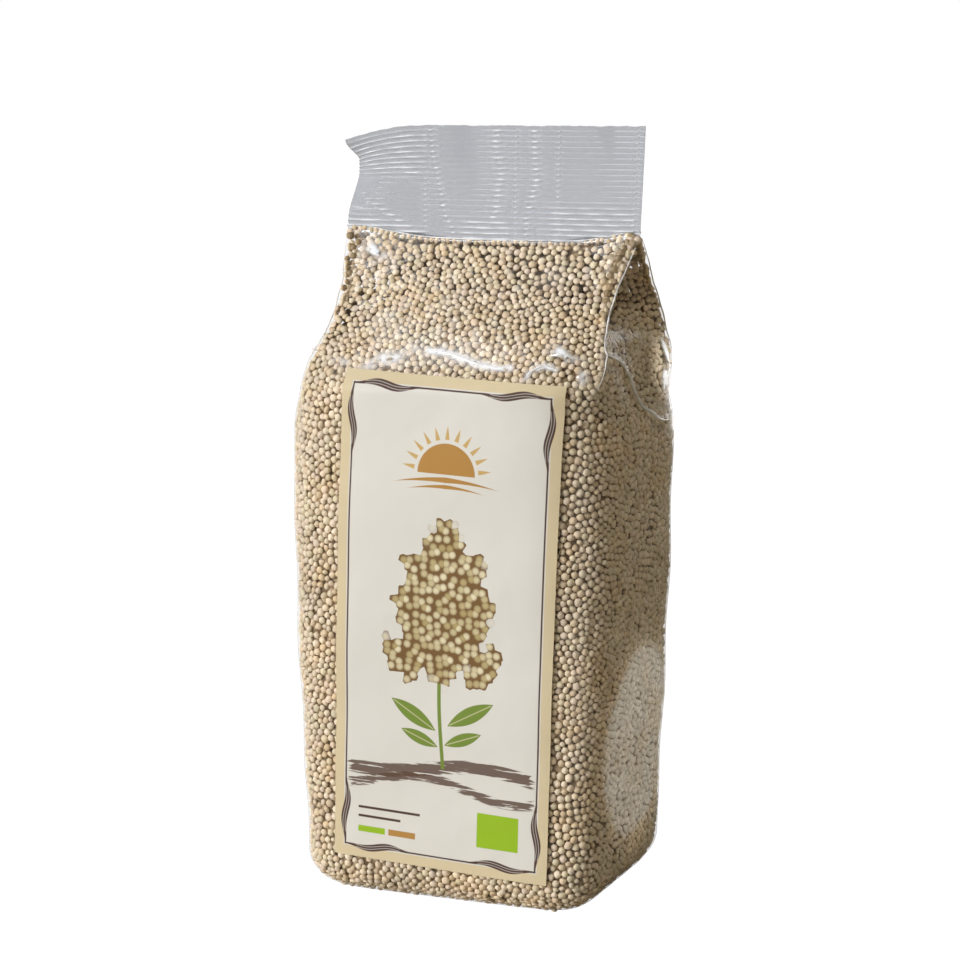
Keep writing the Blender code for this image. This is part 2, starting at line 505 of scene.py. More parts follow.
def makeFilmLook(name, sealed):
    look, tree = emptyMaterial(name)
    place = objectPlace(tree)
    fine = noiseOf(place, 180.0, 3.0, 0.55)
    paintedHighlight = readMark(tree, "paintedHighlight")
    if sealed:
        empty, paintedShoulderSheen, haze, shine = 1.0, 0.0, 0.0, film["sealShine"]
        surface, roughness = bumpFrom(fine, 0.15, 0.0003), film["gloss"][1]
    else:
        empty, looseness, haze = [readMark(tree, mark) for mark in ("empty", "loose", "haze")]
        paintedHighlight = times(paintedHighlight, ramp(noiseOf(place, 520.0, 3.0), 0.30, 0.58))
        shine = timesPlus(haze, film["hazeShine"], timesPlus(looseness, *film["shine"]))
        clinging, free = film["gloss"]
        roughness = timesPlus(looseness, free - clinging, clinging)
        # Film on the grains follows them a little, so its shine breaks up
        cells = cellsOf(place, 540.0, "SMOOTH_F1")
        cells.inputs["Smoothness"].default_value = 0.5
        height = times(cells.outputs["Distance"], minus(looseness, 1.0))
        surface = bumpFrom(fine, 0.25, 0.0004, bumpFrom(height, 0.4, 0.0002))
        # The dull patch, and painted sheen as soft whitish blotches at the shoulder
        centre = addNode(tree, "ShaderNodeVectorMath", operation="DISTANCE")
        plug(place, centre.inputs[0])
        centre.inputs[1].default_value = tuple(np.array(film["patchMiddle"]) + shift)
        radius = film["patchRadius"]
        patch = minus(1.0, ramp(centre.outputs["Value"], radius - 0.0050, radius))
        patchCloud = times(patch, timesPlus(noiseOf(place, 900.0, 3.0), *film["patchCloud"]))
        haze = larger(patchCloud, haze)
        shine = timesPlus(patch, film["patchShine"], shine)
        roughness = timesPlus(patch, film["patchRough"], roughness)
        _, _, z = splitPlace(place)
        paintedShoulderSheen = times(ramp(noiseOf(place, 75.0), 0.50, 0.78), ramp(z, 0.118, 0.134))
    facing = addNode(tree, "ShaderNodeLayerWeight")
    facing.inputs["Blend"].default_value = 0.5
    plug(surface, facing.inputs["Normal"])
    grazing = calc("POWER", facing.outputs["Facing"], 7.5)
    clear = addNode(tree, "ShaderNodeBsdfTransparent")
    clearTint = mixColour(tree, empty, colour(*film["clearTint"]), colour(*film["sealTint"]))
    plug(clearTint, clear.inputs["Color"])
    gloss = addNode(tree, "ShaderNodeBsdfGlossy")
    gloss.inputs["Color"].default_value = colour(0.97, 0.98, 1.0)
    plug(roughness, gloss.inputs["Roughness"])
    plug(surface, gloss.inputs["Normal"])
    shiny = mixShaders(calc("MULTIPLY_ADD", grazing, 0.40, shine, clamp=True), clear, gloss)
    milk = addNode(tree, "ShaderNodeBsdfDiffuse")
    milkTint = mixColour(tree, empty, colour(*film["milk"]), colour(*film["sealMilk"]))
    # Painted highlight: the milk turns white at the glints, fold lines and shard, and thickens there below
    plug(mixColour(tree, paintedHighlight, milkTint, colour(0.96, 0.98, 1.0)), milk.inputs["Color"])
    cloud = plus(timesPlus(grazing, 0.40, 0.006), haze)
    # Painted sheen: more milk in the whitish blotches at the shoulder
    cloud = timesPlus(paintedShoulderSheen, 0.10, cloud)
    cloud = timesPlus(empty, film["sealCloud"], cloud)
    cloud = calc("MULTIPLY_ADD", paintedHighlight, 0.78, cloud, clamp=True)
    return finishLook(look, mixShaders(cloud, shiny, milk))


def makeMilkyLook(name, milk, clear, roughness, specular, patchiness, rippled=0.0):
    # Milky film, more or less see-through: patchiness is the noise's scale, detail, share and least share
    look, tree = emptyMaterial(name)
    place = objectPlace(tree)
    surface = bumpFrom(noiseOf(place, 900.0), rippled, 0.0002) if rippled else None
    milky = principled(tree, colour(*milk), roughness, specular, surface)
    empty = addNode(tree, "ShaderNodeBsdfTransparent")
    empty.inputs["Color"].default_value = colour(*clear)
    scale, detail, share, least = patchiness
    cloud = calc("MULTIPLY_ADD", noiseOf(place, scale, detail), share, least, clamp=True)
    return finishLook(look, mixShaders(cloud, empty, milky))


# Folds of loose film: across and height on a face, in metres
flapRight = ((-0.0235, 0.1325), (-0.0160, 0.1310), (-0.0090, 0.1280), (-0.0065, 0.1245), (-0.0025, 0.1180),
             (0.0060, 0.1145), (0.0125, 0.1140))
flapLeft = ((-0.0240, 0.1315), (-0.0130, 0.1290), (-0.0040, 0.1225), (0.0040, 0.1165), (0.0150, 0.1150))
ledge = ((-0.0190, 0.1372), (-0.0080, 0.1368), (0.0040, 0.1378), (0.0230, 0.1368))
crest = ((-0.0040, 0.1326), (0.0010, 0.1325), (0.0080, 0.1306), (0.0130, 0.1296), (0.0180, 0.1297))
hook = ((0.0223, 0.1278), (0.0240, 0.1297), (0.0262, 0.1304), (0.0286, 0.1296))
loose = {
    "flap": (0.00070, 0.00080),  # height and half width of the folds that cross a side
    "fine": 0.00010,
    "pleats": 0.00010,
    "foot": 0.00009,
    "frontTents": (  # across, height, half width, half height, stand-out
        (-0.0265, 0.1535, 0.0036, 0.0014, 0.00045),
        (0.0298, 0.1326, 0.0034, 0.0013, 0.00050),
        (0.0352, 0.1276, 0.0020, 0.0016, 0.00060),
    ),
    "sideTents": ((0.0185, 0.1265, 0.0030, 0.0066, 0.0008),),
    "beads": (  # run, line of across and height, thickness
        (3, crest, 0.00034), (3, hook, 0.00030), (0, flapRight, 0.00042), (2, flapLeft, 0.00030),
    ),
    # place round, lowest height
    "creaseBeads": ((0.0, 0.1250), (0.22, 0.1300), (0.50, 0.1300), (0.72, 0.1270)),
    "creaseThickness": 0.00020,
    "paintedFoldHighlights": ((crest, 1.25, 0.0008), (hook, 1.05, 0.0007)),  # painted highlights along folds: strength and half width
    "glints": (  # painted highlights on the front: across, height, half sizes, fall, strength
        (-0.0262, 0.1541, 0.0030, 0.0008, 0.25, 1.7),
        (-0.0128, 0.1306, 0.0062, 0.0013, -0.31, 1.15),
        (-0.0250, 0.1296, 0.0030, 0.0008, -0.10, 0.60),
        (0.0298, 0.1328, 0.0030, 0.0008, 0.30, 1.7),
        (0.0352, 0.1278, 0.0010, 0.0018, 0.0, 1.0),
    ),
    "shard": (  # painted highlights on the right side: across, height, half sizes, lean
        (0.0192, 0.1296, 0.0016, 0.0034, 0.25), (0.0178, 0.1236, 0.0021, 0.0032, -0.30),
    ),
    "shardStrength": 1.6,
    "sealBead": 0.00020,
}


def lineDistance(across, z, line):
    # Distance from a line through a few points on a face, seen square on
    nearest = np.full(z.shape, 1.0)
    for (a0, z0), (a1, z1) in zip(line, line[1:]):
        wide, tall = a1 - a0, z1 - z0
        share = np.clip(((across - a0) * wide + (z - z0) * tall) / (wide ** 2 + tall ** 2), 0, 1)
        nearest = np.minimum(nearest, np.hypot(across - a0 - share * wide, z - z0 - share * tall))
    return nearest


def wrinkles(points, around):
    # Small folds of the loose film, outwards, and how loose it is there
    x, y, z = points[..., 0], points[..., 1], points[..., 2]
    run, place = runAndPlace(around)
    onSide = (run == 0) | (run == 2)
    top = ease(0.120, 0.150, z) * (1 - ease(0.150, 0.155, z))
    fine = np.sin(1500 * x + 310 * z) * np.sin(820 * z - 240 * x + 1.3)
    fine = fine + 0.7 * np.sin(640 * x - 980 * z + 0.4)
    pleats = np.where(onSide, np.sin(900 * z + 260 * y) + 0.6 * np.sin(1400 * z - 500 * y), 0)
    foot = ease(0.0005, 0.006, z) * (1 - ease(0.006, 0.018, z)) * np.sin(520 * x + 610 * y)
    out = loose["fine"] * top * fine + loose["pleats"] * top * pleats + loose["foot"] * foot
    free = np.zeros_like(out)
    height, half = loose["flap"]
    for side, lines in ((0, (flapRight, ledge)), (2, (flapLeft, ledge))):
        for line in lines:
            ridge = np.where(run == side, np.exp(-(lineDistance(y, z, line) / half) ** 2), 0)
            out = out + height * ridge * (0.5 if line is ledge else 1.0)
    for side, across, tents in ((3, x, loose["frontTents"]), (0, y, loose["sideTents"])):
        for middle, level, wide, tall, high in tents:
            tent = bump(0, 1, np.hypot((across - middle) / wide, (z - level) / tall))
            tent = np.where(run == side, tent, 0)
            out, free = out + high * tent, np.maximum(free, np.minimum(1, 3 * tent))
    return out, free


def crowded(share):
    # Moves the columns towards the four creases
    edges = np.array(runShares)
    run = np.clip(np.searchsorted(edges, share, side="right") - 1, 0, 3)
    local = (share - edges[run]) / (edges[run + 1] - edges[run])
    local = local - film["crowding"] * np.sin(2 * math.pi * local) / (2 * math.pi)
    return edges[run] + local * (edges[run + 1] - edges[run])


def filmSurface(around, z):
    # Points of the film and the way out from them
    step, rise, thin = 0.0004, 0.0002, tube["filmHalf"]
    points = tubePoint(around, z, thin)
    along = tubePoint(np.mod(around + step, 1), z, thin) - tubePoint(np.mod(around - step, 1), z, thin)
    up = tubePoint(around, z + rise, thin) - tubePoint(around, np.maximum(z - rise, 0), thin)
    outward = np.cross(along, up)
    return points, outward / np.maximum(np.linalg.norm(outward, axis=-1, keepdims=True), 1e-12)


def filmHeights():
    radius = tube["edgeRadius"]
    edge = radius * (1 - np.cos(np.radians(np.linspace(0, 90, 13))))
    body = np.linspace(radius, 0.1080, 76)[1:]
    shoulders = np.linspace(0.1080, tube["headerZ"], 130)[1:]
    return np.concatenate([edge, body, shoulders])


def hazeAt(around, z):
    # Hazy strips along the creases; the first lies on both ends of the way round
    first, turned = film["hazes"][0], np.mod(around, 1)
    strips = film["hazes"] + ((1.0, *first[1:]),)
    haze = sum(share * np.exp(-(((turned - middle) / half) ** 2)) for middle, share, half in strips)
    haze = haze * (0.85 + 0.15 * np.sin(170 * z + 9 * around))
    return haze * ease(0.004, 0.02, z) * (1 - ease(0.128, 0.142, z))


def paintedHighlightAt(run, x, y, z):
    # Painted highlights on the film, on the front and on the right side
    front = np.zeros_like(x)
    for line, strength, half in loose["paintedFoldHighlights"]:
        front = np.maximum(front, strength * np.exp(-(lineDistance(x, z, line) / half) ** 2))
    for middleX, middleZ, long, tall, fall, strength in loose["glints"]:
        along = x - middleX
        bent = z - middleZ + fall * along + 0.00035 * np.sin(along / 0.0011)
        tapered = tall * (1 - 0.25 * along / long)
        front = np.maximum(front, strength * np.exp(-(along / long) ** 2 - (bent / tapered) ** 2))
    side = np.zeros_like(x)
    for middleY, middleZ, wide, tall, lean in loose["shard"]:
        across = (y - middleY + lean * (z - middleZ)) / wide
        spot = np.exp(-(across ** 2 + ((z - middleZ) / tall) ** 2) ** 2)
        side = np.maximum(side, loose["shardStrength"] * spot)
    return np.where(run == 3, front, np.where(run == 0, side, 0))


def makeFilm():
    heights = filmHeights()
    piece, share = flatSheet("film", film["columns"], len(heights) - 1)
    z = np.interp(share[:, 1], np.linspace(0, 1, len(heights)), heights)
    around = crowded(share[:, 0])
    # The top rows bend down to the seal's sagging edge
    top = sagAt(tubePoint(around, tube["headerZ"])[:, 0]) + 0.00006
    low = 0.1450
    z = np.where(z > low, low + (z - low) * (top - low) / (tube["headerZ"] - low), z)
    points, outward = filmSurface(around, z)
    small, free = wrinkles(points, np.mod(around, 1))
    below = sealAt(points[:, 0]) - points[:, 2]
    small = small * ease(0.0004, 0.0040, below)
    points = points + outward * small[:, None]
    points[:, 2] = np.maximum(points[:, 2], 0)
    writePoints(piece, points + shift)
    free = np.maximum(free, 1 - ease(film["emptyTop"], film["emptyTop"] + 0.0010, below))
    addMark(piece.data, "loose", free)
    addMark(piece.data, "empty", 1 - ease(film["emptyTop"], film["emptyTop"] + 0.0004, below))
    addMark(piece.data, "haze", hazeAt(around, z))
    run, _ = runAndPlace(np.mod(around, 1))
    addMark(piece.data, "paintedHighlight", paintedHighlightAt(run, *points.T))
    finishTube(piece)
    smoothShade(piece, 50)
    finishPiece(piece, makeFilmLook("clear_film", False), "film", "bag")


seal = {
    "steps": (205, 225),
    "pitch": 0.00128,  # from crimp to crimp
    "faint": 0.000025,  # depth of the crimps where they hardly shine
    "bright": 0.00024,  # and where they catch the light
    "bands": (  # upright bands of bright crimps: half width, then their heights and places across
        (0.00060, (0.1592, 0.1633, 0.1678, 0.1723, 0.1778, 0.1832),
         (-0.0074, -0.0098, -0.0106, -0.0115, -0.0128, -0.0133)),
        (0.00120, (0.1584, 0.1599, 0.1640, 0.1694, 0.1734, 0.1788, 0.1833),
         (-0.0014, 0.0019, 0.0035, 0.0041, 0.0051, 0.0035, 0.0037)),
        (0.00080, (0.1621, 0.1666, 0.1715, 0.1780, 0.1834), (0.0114, 0.0126, 0.0139, 0.0134, 0.0133)),
    ),
    "folds": (  # film edges inside: place across, lowest and highest
        (-0.0147, 0.1575, 0.1725), (0.0085, 0.1575, 0.1840), (0.0192, 0.1650, 0.1840),
    ),
    "foldStep": 0.00008,
    "margin": 0.0014,  # uncrimped strip down the right edge
    "streak": ((-0.0317, 0.1675), (-0.0244, 0.1630), (-0.0156, 0.1577)),  # a slanting fold at the lower left
    "curlWidth": 0.0200,
    "curlDepth": 0.0030,
    "curlDrop": 0.0036,
    "waist": 0.0017,
    "pinch": 0.0120,
    "flare": 0.0011,
}


def curled(points):
    # Bends the seal's upper left corner down and forwards, and draws in its left edge under it
    x, y, z = points[..., 0], points[..., 1], points[..., 2]
    height = np.clip((z - tube["headerZ"]) / (tube["topZ"] - tube["headerZ"]), 0, 1)
    edge = tube["headerX"] - tube["flatWidth"] / 2
    reach = np.clip(1 - (x - edge) / seal["curlWidth"], 0, 1)
    pinched = np.clip(1 - (x - edge) / seal["pinch"], 0, 1) ** 2
    waist = ease(0.10, 0.60, height) * (1 - 1.2 * ease(0.76, 1.0, height))
    flare = seal["flare"] * height * ease(0, 1, (x - tube["headerX"]) * 2 / tube["flatWidth"])
    return np.stack([
        x + seal["waist"] * waist * pinched + flare,
        y + seal["curlDepth"] * waist * pinched,
        z - seal["curlDrop"] * ease(0.40, 1, height) * reach ** 1.8,
    ], axis=-1)


def crimpStrength(x, z):
    # The crimps are deep, with painted highlights on their crests, in a few upright bands, low down and at
    # the curled corner
    strength = np.zeros_like(x)
    for half, heights, places in seal["bands"]:
        glitter = 0.75 + 0.25 * np.sin(2100 * z + 900 * half)
        strength = np.maximum(strength, np.exp(-((x - np.interp(z, heights, places)) / half) ** 2) * glitter)
    for place, low, high in seal["folds"]:
        within = ease(low, low + 0.001, z) * (1 - ease(high - 0.001, high, z))
        strength = np.maximum(strength, 0.55 * np.exp(-((x - place) / 0.00036) ** 2) * within)
    corner = (1 - ease(-0.0155, -0.0135, x)) * ease(0.1700, 0.1750, z) * (1 - ease(0.1815, 0.1840, z))
    corner = corner * (0.80 + 0.20 * np.sin(700 * x + 300 * z))
    middle = bump(0.0010, 0.0110, x) * (1 - ease(0.1600, 0.1640, z))
    right = ease(0.0130, 0.0210, x) * (1 - ease(0.1635, 0.1672, z))
    lowLeft = (1 - ease(-0.0158, -0.0142, x)) * (1 - ease(0.0014, 0.0034, z - sealAt(x)))
    streak = np.exp(-(lineDistance(x, z, seal["streak"]) / 0.0006) ** 2)
    margin = tube["flatWidth"] / 2 + tube["headerX"] - seal["margin"]
    besideMargin = 0.5 * np.exp(-((x - (margin - 0.0004)) / 0.0004) ** 2)
    strength = np.maximum.reduce([
        strength, 0.92 * corner, 0.95 * middle, 0.85 * right, 0.9 * streak, 0.8 * lowLeft, besideMargin])
    inside = 1 - ease(-0.0003, 0.0001, x - margin)
    return strength * inside * (1 - ease(0.1832, 0.1838, z))


def makeSeal():
    piece, share = flatSheet("film_seal", *seal["steps"])
    x = tube["headerX"] + (share[:, 0] - 0.5) * tube["flatWidth"]
    foot = sealAt(x) - 0.00006
    z = foot + share[:, 1] * (tube["topZ"] - foot)
    height = np.clip((z - tube["headerZ"]) / (tube["topZ"] - tube["headerZ"]), 0, 1)
    soft = 0.00040 * height * np.sin((x + 0.0136) / 0.0066)
    soft = soft + 0.00012 * height * np.sin(x / 0.0019 + 3 * height)
    turns = 2 * math.pi * (z - tube["headerZ"]) / seal["pitch"] + 0.5 * np.sin(x / 0.02)
    strength = crimpStrength(x, z)
    plain = bump(-0.0060, 0.0070, x) * ease(0.1660, 0.1720, z)
    depth = (seal["faint"] + (seal["bright"] - seal["faint"]) * strength) * (1 - 0.8 * plain)
    crimps = depth * (1 - 2 * (0.5 + 0.5 * np.sin(turns)) ** 2)
    # Painted highlight: the upper slope of each crimp, which faces the light above, is painted white where
    # the crimps are strong
    crest = np.clip(np.cos(turns - math.pi / 2 - 0.5), 0, 1) ** 2.2
    paintedHighlight = strength * crest * (0.80 + 0.20 * np.sin(900 * x + 1700 * z))
    addMark(piece.data, "paintedHighlight", paintedHighlight)
    steps = sum(ease(-0.0002, 0.0002, x - place) for place, _, _ in seal["folds"]) * seal["foldStep"]
    y = tube["headerY"] - tube["filmHalf"] + soft + crimps - steps
    # The cut top edge isn't quite straight
    ragged = 0.00012 * np.sin(x / 0.0021) * np.sin(x / 0.0009 + 1) + 0.00010 * np.sin(x / 0.0053 + 2)
    z = z - np.abs(ragged) * ease(0.985, 1, share[:, 1])
    writePoints(piece, curled(np.column_stack([x, y, z])) + shift)
    thicken(piece, 2 * tube["filmHalf"], -1.0, 50)
    finishPiece(piece, makeFilmLook("sealed_film", True), "film", "bag")


seam = {
    "middle": 0.3610,  # place round the tube, on the back
    "width": 0.0105,
    "steps": (14, 260),
    "heights": (0.0090, 0.1560),
    "lift": 0.00016,
    "footLong": 0.0560,  # length of the folded seam under the bag
    "footWide": 0.0110,
}


def makeSeam():
    # The film's own seam: a sealed strip up the back and another one across the folded foot, inside the film
    piece, share = flatSheet("film_seam", *seam["steps"])
    low, high = seam["heights"]
    z = low + share[:, 1] * (high - low)
    girth = np.interp(z, [0, 0.1, 0.125, 0.158], [0.262, 0.288, 0.270, 0.152])
    around = seam["middle"] + (share[:, 0] - 0.5) * seam["width"] / girth
    points, outward = filmSurface(around, z)
    small, _ = wrinkles(points, around)
    ribs = 0.00004 * np.sin(2 * math.pi * z / 0.0011) * bump(0.5, 0.45, share[:, 0])
    lift = (small + seam["lift"] + ribs) * ease(0.0002, 0.0020, sealAt(points[:, 0]) - z)
    writePoints(piece, points + outward * lift[:, None] + shift)
    foot, share = flatSheet("seam_foot", 90, 14)
    x = (share[:, 0] - 0.5) * seam["footLong"]
    y = tube["headerY"] + (share[:, 1] - 0.5) * seam["footWide"]
    z = 0.00022 + 0.00004 * np.sin(2 * math.pi * x / 0.0012)
    writePoints(foot, np.column_stack([x, y, z]) + shift)
    activate(foot)
    piece.select_set(True)
    bpy.context.view_layer.objects.active = piece
    bpy.ops.object.join()
    thicken(piece, 0.00012, 0.0, 50)
    milk, clear = (0.80, 0.78, 0.74), (0.97, 0.97, 0.97)
    look = makeMilkyLook("seam_film", milk, clear, 0.18, 0.5, (150.0, 3.0, 0.16, 0.04))
    finishPiece(piece, look, "film", "bag")


def placeOnRun(run, across, z):
    # How far round the tube a spot of a face is, from its place across
    share = np.linspace(runShares[run] + 0.0005, runShares[run + 1] - 0.0005, 240)
    found = np.empty(len(z))
    for index, (side, level) in enumerate(zip(across, z)):
        ring = tubePoint(share, level, tube["filmHalf"])[:, 0 if run in (1, 3) else 1]
        order = np.argsort(ring)
        found[index] = np.interp(side, ring[order], share[order])
    return found


def makeBead(points, thickness):
    # A round bead along a line of points, thinner towards its ends
    data = bpy.data.curves.new("fold", "CURVE")
    data.dimensions = "3D"
    data.bevel_depth = thickness
    data.bevel_resolution = 1
    data.use_fill_caps = True
    spline = data.splines.new("POLY")
    spline.points.add(len(points) - 1)
    spline.points.foreach_set("co", np.column_stack([points, np.ones(len(points))]).ravel())
    spline.points.foreach_set("radius", np.sin(math.pi * np.linspace(0.02, 0.98, len(points))) ** 0.6)
    bead = bpy.data.objects.new("fold", data)
    bpy.context.scene.collection.objects.link(bead)
    activate(bead)
    bpy.ops.object.convert(target="MESH")
    return bpy.context.active_object


def makeFolds():
    # Sharp folds of the film, as thin beads that thin out at both ends; their milky white is partly the
    # folded film's own and partly painted highlight along the folds
    lines = []
    for run, line, thickness in loose["beads"]:
        across, level = np.array(line).T
        way = np.concatenate([[0], np.cumsum(np.hypot(np.diff(across), np.diff(level)))])
        spots = np.linspace(0, way[-1], 60)
        across, level = np.interp(spots, way, across), np.interp(spots, way, level)
        for turn in range(30):
            across[1:-1] = (across[:-2] + 2 * across[1:-1] + across[2:]) / 4
            level[1:-1] = (level[:-2] + 2 * level[1:-1] + level[2:]) / 4
        lines.append((placeOnRun(run, across, level), level, thickness))
    for around, lowest in loose["creaseBeads"]:
        level = np.linspace(lowest, 0.1560, 60)
        lines.append((np.full(60, around), level, loose["creaseThickness"]))
    paths = []
    for around, level, thickness in lines:
        points, outward = filmSurface(around, level)
        small, _ = wrinkles(points, np.mod(around, 1))
        small = small * ease(0.0004, 0.0040, sealAt(points[:, 0]) - level)
        paths.append((points + outward * small[:, None], thickness))
    x = np.linspace(-0.0345, 0.0390, 160)
    for front in (-1, 1):
        y = np.full(len(x), tube["headerY"] + front * (tube["filmHalf"] + 0.00008))
        paths.append((np.column_stack([x, y, sealAt(x) + 0.0001]), loose["sealBead"]))
    beads = [makeBead(points + shift, thickness) for points, thickness in paths]
    deselectAll()
    for bead in beads:
        bead.select_set(True)
    bpy.context.view_layer.objects.active = beads[0]
    bpy.ops.object.join()
    piece = bpy.context.active_object
    piece.name = "film_folds"
    piece.data.name = "film_folds"
    smoothShade(piece, 60)
    patchiness = (260.0, 2.0, 1.2, 0.30)
    # Painted highlight: the beads are nearly opaque white film
    look = makeMilkyLook("folded_film_painted_highlight", (0.97, 0.965, 0.95), (0.98, 0.98, 0.98), 0.12, 0.9, patchiness, 0.3)
    finishPiece(piece, look, "film", "bag")


# The grains: one packed layer just inside the film, over a core with relief
grain = {
    "radius": (0.00092, 0.00010),  # mean and spread
    "radiusEnds": (0.00066, 0.00112),
    "flatness": 0.72,
    "cover": 0.87,  # share of the surface that the grains' discs take up
    "apart": 1.035,  # how much further than touching they keep
    "gap": 0.00008,
    "scatter": 0.00026,  # how much deeper some grains sit
    "rounds": 55,
    "seed": 41,
    "tilt": 20.0,  # usual tilt from the film, in degrees
    "onEdge": 0.10,  # share of the grains that stand on edge
    "paintedSheenStrip": 0.70,  # painted sheen: how much paler grains are painted behind the widest hazy strip
    "topDepth": 0.0021,  # least depth of the bag that still holds grains
    "rowUnder": (0.00068, 0.00146, 0.00074),  # the last row: how far under the seal, pitch and radius
}


def surfaceTable():
    # Points of the tube at even steps along and around it
    rows = np.linspace(0.0004, tube["headerZ"] - 0.0004, 1500)
    line = tubePoint(0.86, rows)
    length = np.concatenate([[0], np.cumsum(np.linalg.norm(np.diff(line, axis=0), axis=1))])
    heights = np.interp(np.linspace(0, length[-1], 420), length, rows)
    rough = tubePoint(np.linspace(0, 1, 1600)[None, :], heights[:, None])
    even = []
    for ring in rough:
        way = np.concatenate([[0], np.cumsum(np.linalg.norm(np.diff(ring, axis=0), axis=1))])
        spots = np.linspace(0, way[-1], 900)
        even.append(np.stack([np.interp(spots, way, ring[:, axis]) for axis in range(3)], axis=1))
    even = np.array(even)
    along = np.gradient(even, axis=1)
    along[:, 0] = along[:, -1] = (even[:, 1] - even[:, -2]) / 2
    up = np.gradient(even, axis=0)
    outward = np.cross(along, up)
    outward /= np.maximum(np.linalg.norm(outward, axis=2, keepdims=True), 1e-12)
    return even, along, up, outward


def readTable(table, around, along):
    # Reads a table between its points: around and along go from 0 to 1
    rows, columns = table.shape[:2]
    row = np.clip(along, 0, 1) * (rows - 1)
    column = np.mod(around, 1) * (columns - 1)
    row0 = np.minimum(row.astype(int), rows - 2)
    column0 = np.minimum(column.astype(int), columns - 2)
    a = (row - row0)[:, None]
    b = (column - column0)[:, None]
    low = table[row0, column0] * (1 - b) + table[row0, column0 + 1] * b
    high = table[row0 + 1, column0] * (1 - b) + table[row0 + 1, column0 + 1] * b
    return low * (1 - a) + high * a


def packGrains(tables, chance):
    even, along, up, _ = tables
    cell = np.linalg.norm(np.cross(along[:-1, :-1], up[:-1, :-1]), axis=2)
    area = cell.sum()
    mean, spread = grain["radius"]
    count = int(grain["cover"] * area / (math.pi * (mean ** 2 + spread ** 2)))
    radius = np.clip(chance.normal(mean, spread, count), *grain["radiusEnds"])
    picked = chance.choice(cell.size, count, p=(cell / area).ravel())
    rows, columns = cell.shape
    v = (picked // columns + chance.random(count)) / rows
    u = (picked % columns + chance.random(count)) / columns
    wide = 2 * grain["radiusEnds"][1]
    around = int(np.linalg.norm(np.diff(even, axis=1), axis=2).sum(axis=1)[20:].min() / wide)
    high = int(np.linalg.norm(np.diff(even[:, 700], axis=0), axis=1).sum() / wide)
    for turn in range(grain["rounds"]):
        at = readTable(even, u, v)
        column = np.minimum((u * around).astype(int), around - 1)
        row = np.minimum((v * high).astype(int), high - 1)
        home = row * around + column
        order = np.argsort(home, kind="stable")
        first = np.searchsorted(home[order], home[order])
        slot = np.arange(count) - first
        slots = min(int(slot.max()) + 1, 10)
        lists = np.full((high * around, slots), -1)
        keep = slot < slots
        lists[home[order][keep], slot[keep]] = order[keep]
        push = np.zeros((count, 3))
        for stepRow in (-1, 0, 1):
            for stepColumn in (-1, 0, 1):
                nearRow = row + stepRow
                inside = (nearRow >= 0) & (nearRow < high)
                near = lists[np.clip(nearRow, 0, high - 1) * around + (column + stepColumn) % around]
                away = at[:, None, :] - at[near]
                distance = np.linalg.norm(away, axis=2)
                reach = (radius[:, None] + radius[near]) * grain["apart"]
                touching = (near >= 0) & inside[:, None] & (distance < reach) & (distance > 1e-9)
                force = np.where(touching, 0.5 * (reach - distance) / np.maximum(distance, 1e-9), 0)
                push += (away * force[..., None]).sum(axis=1)
        push *= 0.75
        alongHere, upHere = readTable(along, u, v), readTable(up, u, v)
        stepU = (push * alongHere).sum(axis=1) / (alongHere ** 2).sum(axis=1) / (even.shape[1] - 1)
        stepV = (push * upHere).sum(axis=1) / (upHere ** 2).sum(axis=1) / (even.shape[0] - 1)
        u = np.mod(u + stepU, 1)
        v = np.clip(v + stepV, 0, 1)
    return u, v, radius


def grainShape():
    # One grain of radius 1 lying flat: a disc with a rounded edge and a slightly raised face
    deselectAll()
    bpy.ops.mesh.primitive_uv_sphere_add(segments=7, ring_count=4, radius=1, location=(0, 0, 0))
    pattern = bpy.context.active_object
    bpy.ops.object.mode_set(mode="EDIT")
    bpy.ops.mesh.select_all(action="SELECT")
    bpy.ops.transform.resize(value=(1, 1, grain["flatness"]))
    bpy.ops.object.mode_set(mode="OBJECT")
    points = readPoints(pattern)
    level = points[:, 2] / grain["flatness"]
    width = np.linalg.norm(points[:, :2], axis=1)
    rounder = np.where((width > 0.1) & (np.abs(level) > 0.1), 0.80 / np.maximum(width, 0.1), 1.0)
    points[:, :2] *= rounder[:, None]
    points[:, 2] *= np.where(np.abs(level) > 0.9, 0.94, 1.0)
    faces = [tuple(face.vertices) for face in pattern.data.polygons]
    bpy.data.objects.remove(pattern)
    return points, faces


def turnMatrices(outward, tilt, spin, lean):
    # For each grain, three axes: its own z leans from outward by tilt, towards lean
    helper = np.where(np.abs(outward[:, 2:3]) < 0.9, np.array([[0.0, 0.0, 1.0]]), np.array([[1.0, 0.0, 0.0]]))
    first = np.cross(helper, outward)
    first /= np.linalg.norm(first, axis=1, keepdims=True)
    second = np.cross(outward, first)
    sideways = first * np.cos(lean)[:, None] + second * np.sin(lean)[:, None]
    axisZ = outward * np.cos(tilt)[:, None] + sideways * np.sin(tilt)[:, None]
    axisX = np.cross(second * np.cos(spin)[:, None] + first * np.sin(spin)[:, None], axisZ)
    axisX /= np.linalg.norm(axisX, axis=1, keepdims=True)
    return axisX, np.cross(axisZ, axisX), axisZ


def underLabel(points, margin):
    across, upward = labelPlace(points)
    inside = (np.abs(across) < label["width"] / 2 - margin) & (np.abs(upward) < label["height"] / 2 - margin)
    return inside & (points[:, 1] < 0)


